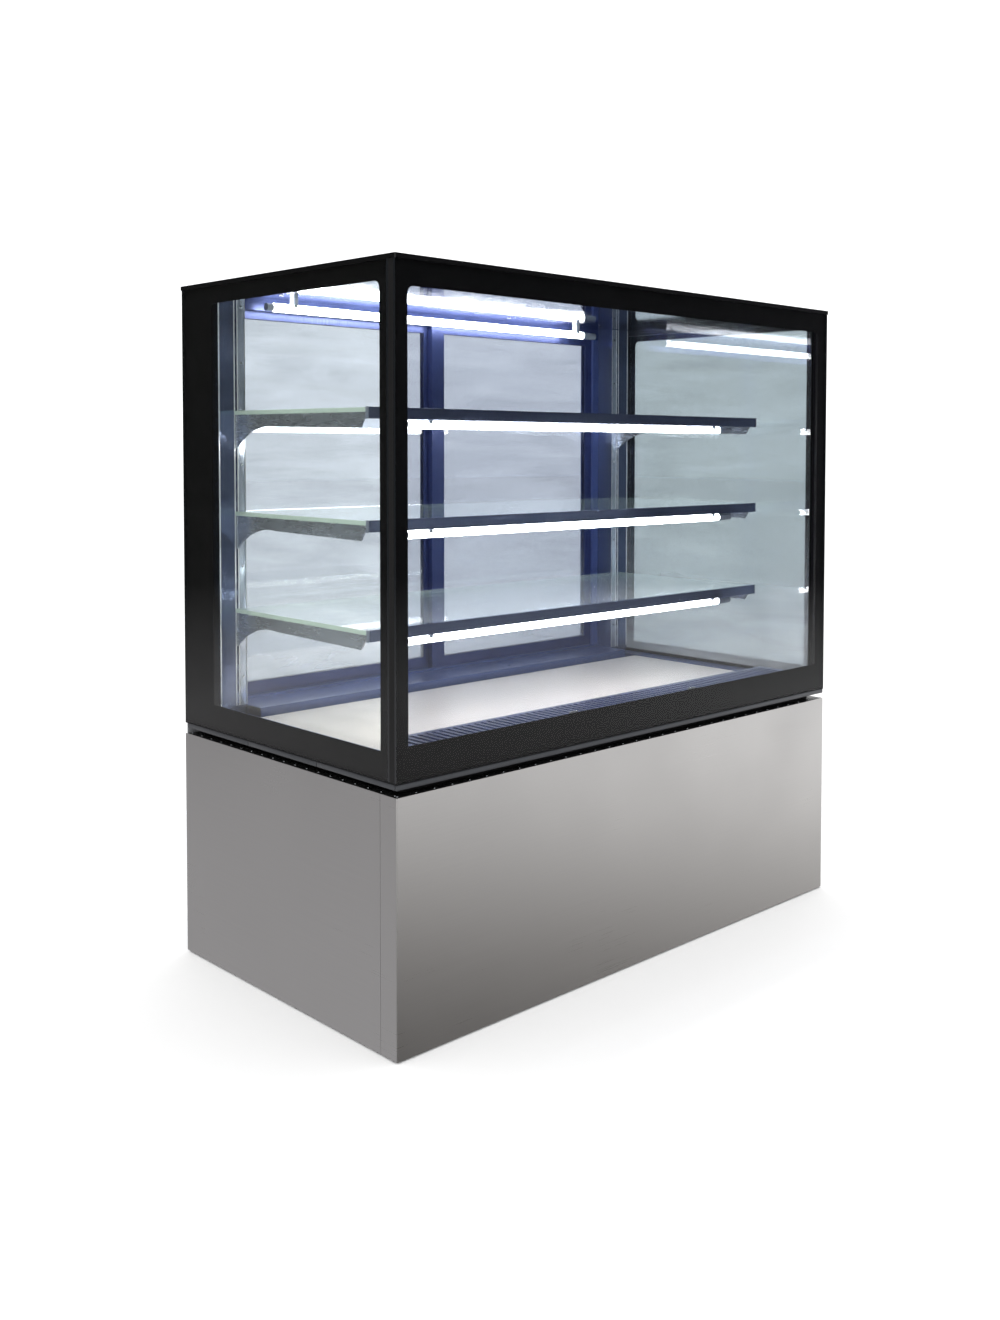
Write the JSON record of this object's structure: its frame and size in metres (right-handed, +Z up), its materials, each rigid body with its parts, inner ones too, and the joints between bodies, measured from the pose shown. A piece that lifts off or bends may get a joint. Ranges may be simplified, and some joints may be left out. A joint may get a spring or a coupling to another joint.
{
  "type": "bakery display case",
  "caption": "Square-glass refrigerated bakery display case: steel base, recessed vent gap, glazed cabin with lit glass shelves and rear sliding doors.",
  "frame": {"origin": "centre of the footprint, on the floor under the feet", "axes": "+X to the right as the customer sees the case, +Y towards the operator's sliding doors, +Z up"},
  "size_m": [1.204, 0.704, 1.33],
  "materials": {
    "brushed_stainless": "horizontal brushed grain, satin",
    "grey_coated_steel": "powder coat, fine texture",
    "black_coated_steel": "powder coat, semi-matt",
    "galvanised_steel": "zinc spangle, satin",
    "zinc_plated_steel": "plated, bright",
    "foam_filled_tub": "coated skins over foam, semi-matt",
    "black_compressor_shell": "gloss stove enamel",
    "black_rubber": "moulded, matt",
    "bare_aluminium": "mill finish",
    "black_moulded_plastic": "fine moulded texture",
    "white_moulded_plastic": "moulded",
    "copper_pipe": "drawn tube",
    "smoked_lens": "polished",
    "green_rocker_plastic": "translucent moulded",
    "white_coated_steel": "gloss white coat",
    "dark_anodised_aluminium": "dark anodised, satin",
    "black_anodised_aluminium": "black anodised",
    "clear_glass": "float glass, polished",
    "shelf_glass": "toughened, polished green edge",
    "door_glass": "float glass, polished",
    "black_edge_seal": "gunned sealant",
    "black_glass_enamel": "fired enamel behind glass",
    "black_gloss_panel": "gloss sheet",
    "mirror_stainless": "mirror polished",
    "satin_stainless": "satin polished",
    "dark_mirror_rail": "dark polished",
    "lamp_diffuser": "opal",
    "clear_clip_plastic": "moulded",
    "button_rubber": "moulded"
  },
  "bodies": {
    "cabinet": {"base_frame": "black_coated_steel", "ceiling_liner": "mirror_stainless", "compressor": "black_compressor_shell", "compressor_mounts": "black_rubber", "condensate_tray": "black_moulded_plastic", "condenser_coil": "bare_aluminium", "condenser_fan_motor": "black_compressor_shell", "condenser_shroud": "galvanised_steel", "control_box": "grey_coated_steel", "controller": "black_moulded_plastic", "controller_display": "smoked_lens", "deck_panel": "white_coated_steel", "deck_trims": "dark_anodised_aluminium", "door_header": "dark_anodised_aluminium", "door_jambs": "dark_anodised_aluminium", "door_sill": "dark_anodised_aluminium", "drain_pipe": "white_moulded_plastic", "evaporator_coil": "bare_aluminium", "evaporator_fan_motors": "black_compressor_shell", "evaporator_fan_plate": "galvanised_steel", "filter_drier": "copper_pipe", "floor_pan": "galvanised_steel", "front_air_grille": "dark_anodised_aluminium", "front_glass": "clear_glass", "front_panel": "brushed_stainless", "glass_borders": "black_glass_enamel", "glass_channel": "black_anodised_aluminium", "glass_shelves": "shelf_glass", "glass_spacers": "black_edge_seal", "insulated_tub": "foam_filled_tub", "lamp_holders": "clear_clip_plastic", "led_lamps": "lamp_diffuser", "left_side_glass": "clear_glass", "left_side_panel": "brushed_stainless", "levelling_feet": "zinc_plated_steel", "power_inlet": "black_moulded_plastic", "rear_service_panel": "grey_coated_steel", "refrigerant_pipes": "copper_pipe", "right_side_glass": "clear_glass", "right_side_panel": "brushed_stainless", "screw_heads": "zinc_plated_steel", "shelf_brackets": "satin_stainless", "shelf_rails": "dark_mirror_rail", "shelf_uprights": "mirror_stainless", "switch_housings": "black_moulded_plastic", "top_panel": "black_gloss_panel", "vent_ledge": "black_coated_steel"},
    "left_door": {"left_door_frame": "dark_anodised_aluminium", "left_door_glass": "door_glass"},
    "right_door": {"right_door_frame": "dark_anodised_aluminium", "right_door_glass": "door_glass"},
    "condenser_fan": {"condenser_fan": "black_moulded_plastic"},
    "left_evaporator_fan": {"left_evaporator_fan": "black_moulded_plastic"},
    "right_evaporator_fan": {"right_evaporator_fan": "black_moulded_plastic"},
    "set_button": {"set_button": "button_rubber"},
    "defrost_button": {"defrost_button": "button_rubber"},
    "down_button": {"down_button": "button_rubber"},
    "up_button": {"up_button": "button_rubber"},
    "light_switch": {"light_switch": "green_rocker_plastic"},
    "power_switch": {"power_switch": "green_rocker_plastic"}
  },
  "joints": [
    {"name": "left_door_slide", "type": "slide", "parent": "cabinet", "child": "left_door", "axis": [1, 0, 0], "range_m": [0, 0.48]},
    {"name": "right_door_slide", "type": "slide", "parent": "cabinet", "child": "right_door", "axis": [-1, 0, 0], "range_m": [0, 0.48]},
    {"name": "condenser_fan_spin", "type": "hinge", "parent": "cabinet", "child": "condenser_fan", "pos_m": [0.32, 0.207, 0.13], "axis": [0, 1, 0], "continuous": true},
    {"name": "left_evaporator_fan_spin", "type": "hinge", "parent": "cabinet", "child": "left_evaporator_fan", "pos_m": [-0.23, 0.031, 0.379], "axis": [0, 1, 0], "continuous": true},
    {"name": "right_evaporator_fan_spin", "type": "hinge", "parent": "cabinet", "child": "right_evaporator_fan", "pos_m": [0.23, 0.031, 0.379], "axis": [0, 1, 0], "continuous": true},
    {"name": "set_button_press", "type": "slide", "parent": "cabinet", "child": "set_button", "axis": [0, -1, 0], "range_m": [0, 0.0008], "stiffness_N_per_m": 400},
    {"name": "defrost_button_press", "type": "slide", "parent": "cabinet", "child": "defrost_button", "axis": [0, -1, 0], "range_m": [0, 0.0008], "stiffness_N_per_m": 400},
    {"name": "down_button_press", "type": "slide", "parent": "cabinet", "child": "down_button", "axis": [0, -1, 0], "range_m": [0, 0.0008], "stiffness_N_per_m": 400},
    {"name": "up_button_press", "type": "slide", "parent": "cabinet", "child": "up_button", "axis": [0, -1, 0], "range_m": [0, 0.0008], "stiffness_N_per_m": 400},
    {"name": "light_switch_rock", "type": "hinge", "parent": "cabinet", "child": "light_switch", "pos_m": [-0.35, 0.3425, 0.228], "axis": [1, 0, 0], "range_deg": [0, 16]},
    {"name": "power_switch_rock", "type": "hinge", "parent": "cabinet", "child": "power_switch", "pos_m": [-0.315, 0.3425, 0.228], "axis": [1, 0, 0], "range_deg": [0, 16]}
  ]
}
